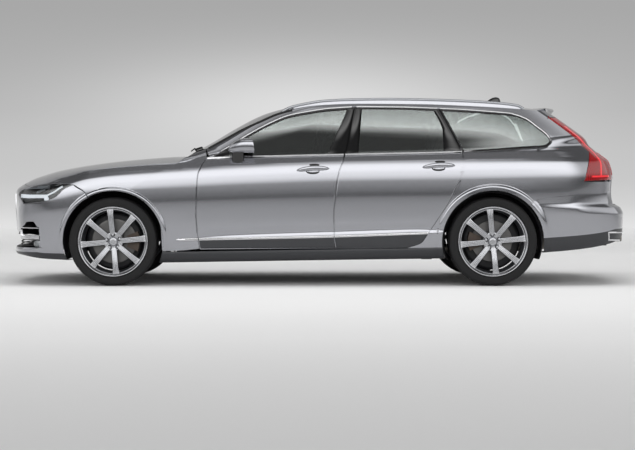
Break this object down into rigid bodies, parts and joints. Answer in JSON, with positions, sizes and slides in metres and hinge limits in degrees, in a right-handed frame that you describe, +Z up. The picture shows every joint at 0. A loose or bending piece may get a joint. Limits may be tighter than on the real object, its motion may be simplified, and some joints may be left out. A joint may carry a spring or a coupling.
{
  "type": "station wagon",
  "caption": "Large five-door station wagon with long bonnet, sloping tailgate, roof rails, tall corner tail lamps and multi-spoke alloy wheels.",
  "frame": {"origin": "on the ground, half way along the car, on its centre line", "axes": "+X to the rear of the car, +Y to the car's right, +Z up"},
  "size_m": [4.936, 2.019, 1.5079],
  "materials": {
    "body_paint": "satin metallic",
    "glass": "tinted",
    "lamp_clear": "clear over bright reflectors",
    "lamp_red": "clear red",
    "black_trim": "gloss black",
    "black_plastic": "grained",
    "cabin_trim": "soft grain",
    "seat_leather": "matt",
    "alloy": "machined and lacquered",
    "tyre_rubber": "matt",
    "iron": "bare",
    "underbody": "matt underseal",
    "engine_metal": "cast",
    "bright_metal": "polished",
    "rail_metal": "anodised"
  },
  "bodies": {
    "body": {"floor_pan": "underbody", "body_sides": "body_paint", "front_wings": "body_paint", "roof_panel": "body_paint", "front_bumper": "body_paint", "rear_bumper": "body_paint", "grille": "black_trim", "headlamps": "lamp_clear", "windscreen": "glass", "scuttle": "black_plastic", "quarter_glasses": "glass", "tail_lamps": "lamp_red", "front_subframe": "underbody", "engine_block": "engine_metal", "arch_liners": "black_plastic", "dashboard": "cabin_trim", "steering_wheel": "cabin_trim", "front_seats": "seat_leather", "rear_seat": "seat_leather", "rear_axle": "iron", "exhaust": "bright_metal", "roof_rails": "rail_metal"},
    "bonnet_lid": {"bonnet": "body_paint"},
    "tailgate_lid": {"tailgate": "body_paint", "tailgate_lamps": "lamp_red", "tailgate_glass": "glass"},
    "door_front_left": {"front_door_left": "body_paint", "front_glass_left": "glass", "mirror_left": "body_paint"},
    "door_front_right": {"front_door_right": "body_paint", "front_glass_right": "glass", "mirror_right": "body_paint"},
    "door_rear_left": {"rear_door_left": "body_paint", "rear_glass_left": "glass"},
    "door_rear_right": {"rear_door_right": "body_paint", "rear_glass_right": "glass"},
    "steer_left": {"knuckle_left": "iron"},
    "steer_right": {"knuckle_right": "iron"},
    "wheel_front_left": {"front_rim_left": "alloy", "front_tyre_left": "tyre_rubber"},
    "wheel_front_right": {"front_rim_right": "alloy", "front_tyre_right": "tyre_rubber"},
    "wheel_rear_left": {"rear_rim_left": "alloy", "rear_tyre_left": "tyre_rubber"},
    "wheel_rear_right": {"rear_rim_right": "alloy", "rear_tyre_right": "tyre_rubber"}
  },
  "joints": [
    {"name": "front_left_door", "type": "hinge", "parent": "body", "child": "door_front_left", "pos_m": [-0.948, -0.929, 0.7], "axis": [0, 0, -1], "range_deg": [0, 68]},
    {"name": "front_right_door", "type": "hinge", "parent": "body", "child": "door_front_right", "pos_m": [-0.948, 0.929, 0.7], "axis": [0, 0, 1], "range_deg": [0, 68]},
    {"name": "rear_left_door", "type": "hinge", "parent": "body", "child": "door_rear_left", "pos_m": [0.1145, -0.9325, 0.7], "axis": [0, 0, -1], "range_deg": [0, 68]},
    {"name": "rear_right_door", "type": "hinge", "parent": "body", "child": "door_rear_right", "pos_m": [0.1145, 0.9325, 0.7], "axis": [0, 0, 1], "range_deg": [0, 68]},
    {"name": "bonnet_hinge", "type": "hinge", "parent": "body", "child": "bonnet_lid", "pos_m": [-1.03, 0, 1.022], "axis": [0, 1, 0], "range_deg": [0, 52]},
    {"name": "tailgate_hinge", "type": "hinge", "parent": "body", "child": "tailgate_lid", "pos_m": [1.7415, 0, 1.432], "axis": [0, -1, 0], "range_deg": [0, 78]},
    {"name": "steer_left", "type": "hinge", "parent": "body", "child": "steer_left", "pos_m": [-1.596, -0.745, 0.343], "axis": [0, 0, 1], "range_deg": [-34, 34]},
    {"name": "steer_right", "type": "hinge", "parent": "body", "child": "steer_right", "pos_m": [-1.596, 0.745, 0.343], "axis": [0, 0, 1], "range_deg": [-34, 34]},
    {"name": "front_left_spin", "type": "hinge", "parent": "steer_left", "child": "wheel_front_left", "pos_m": [-1.596, -0.805, 0.343], "axis": [0, 1, 0], "continuous": true},
    {"name": "front_right_spin", "type": "hinge", "parent": "steer_right", "child": "wheel_front_right", "pos_m": [-1.596, 0.805, 0.343], "axis": [0, 1, 0], "continuous": true},
    {"name": "rear_left_spin", "type": "hinge", "parent": "body", "child": "wheel_rear_left", "pos_m": [1.345, -0.805, 0.343], "axis": [0, 1, 0], "continuous": true},
    {"name": "rear_right_spin", "type": "hinge", "parent": "body", "child": "wheel_rear_right", "pos_m": [1.345, 0.805, 0.343], "axis": [0, 1, 0], "continuous": true}
  ],
  "couplings": [
    {"joint": "steer_right", "follows": "steer_left", "ratio": 1}
  ]
}
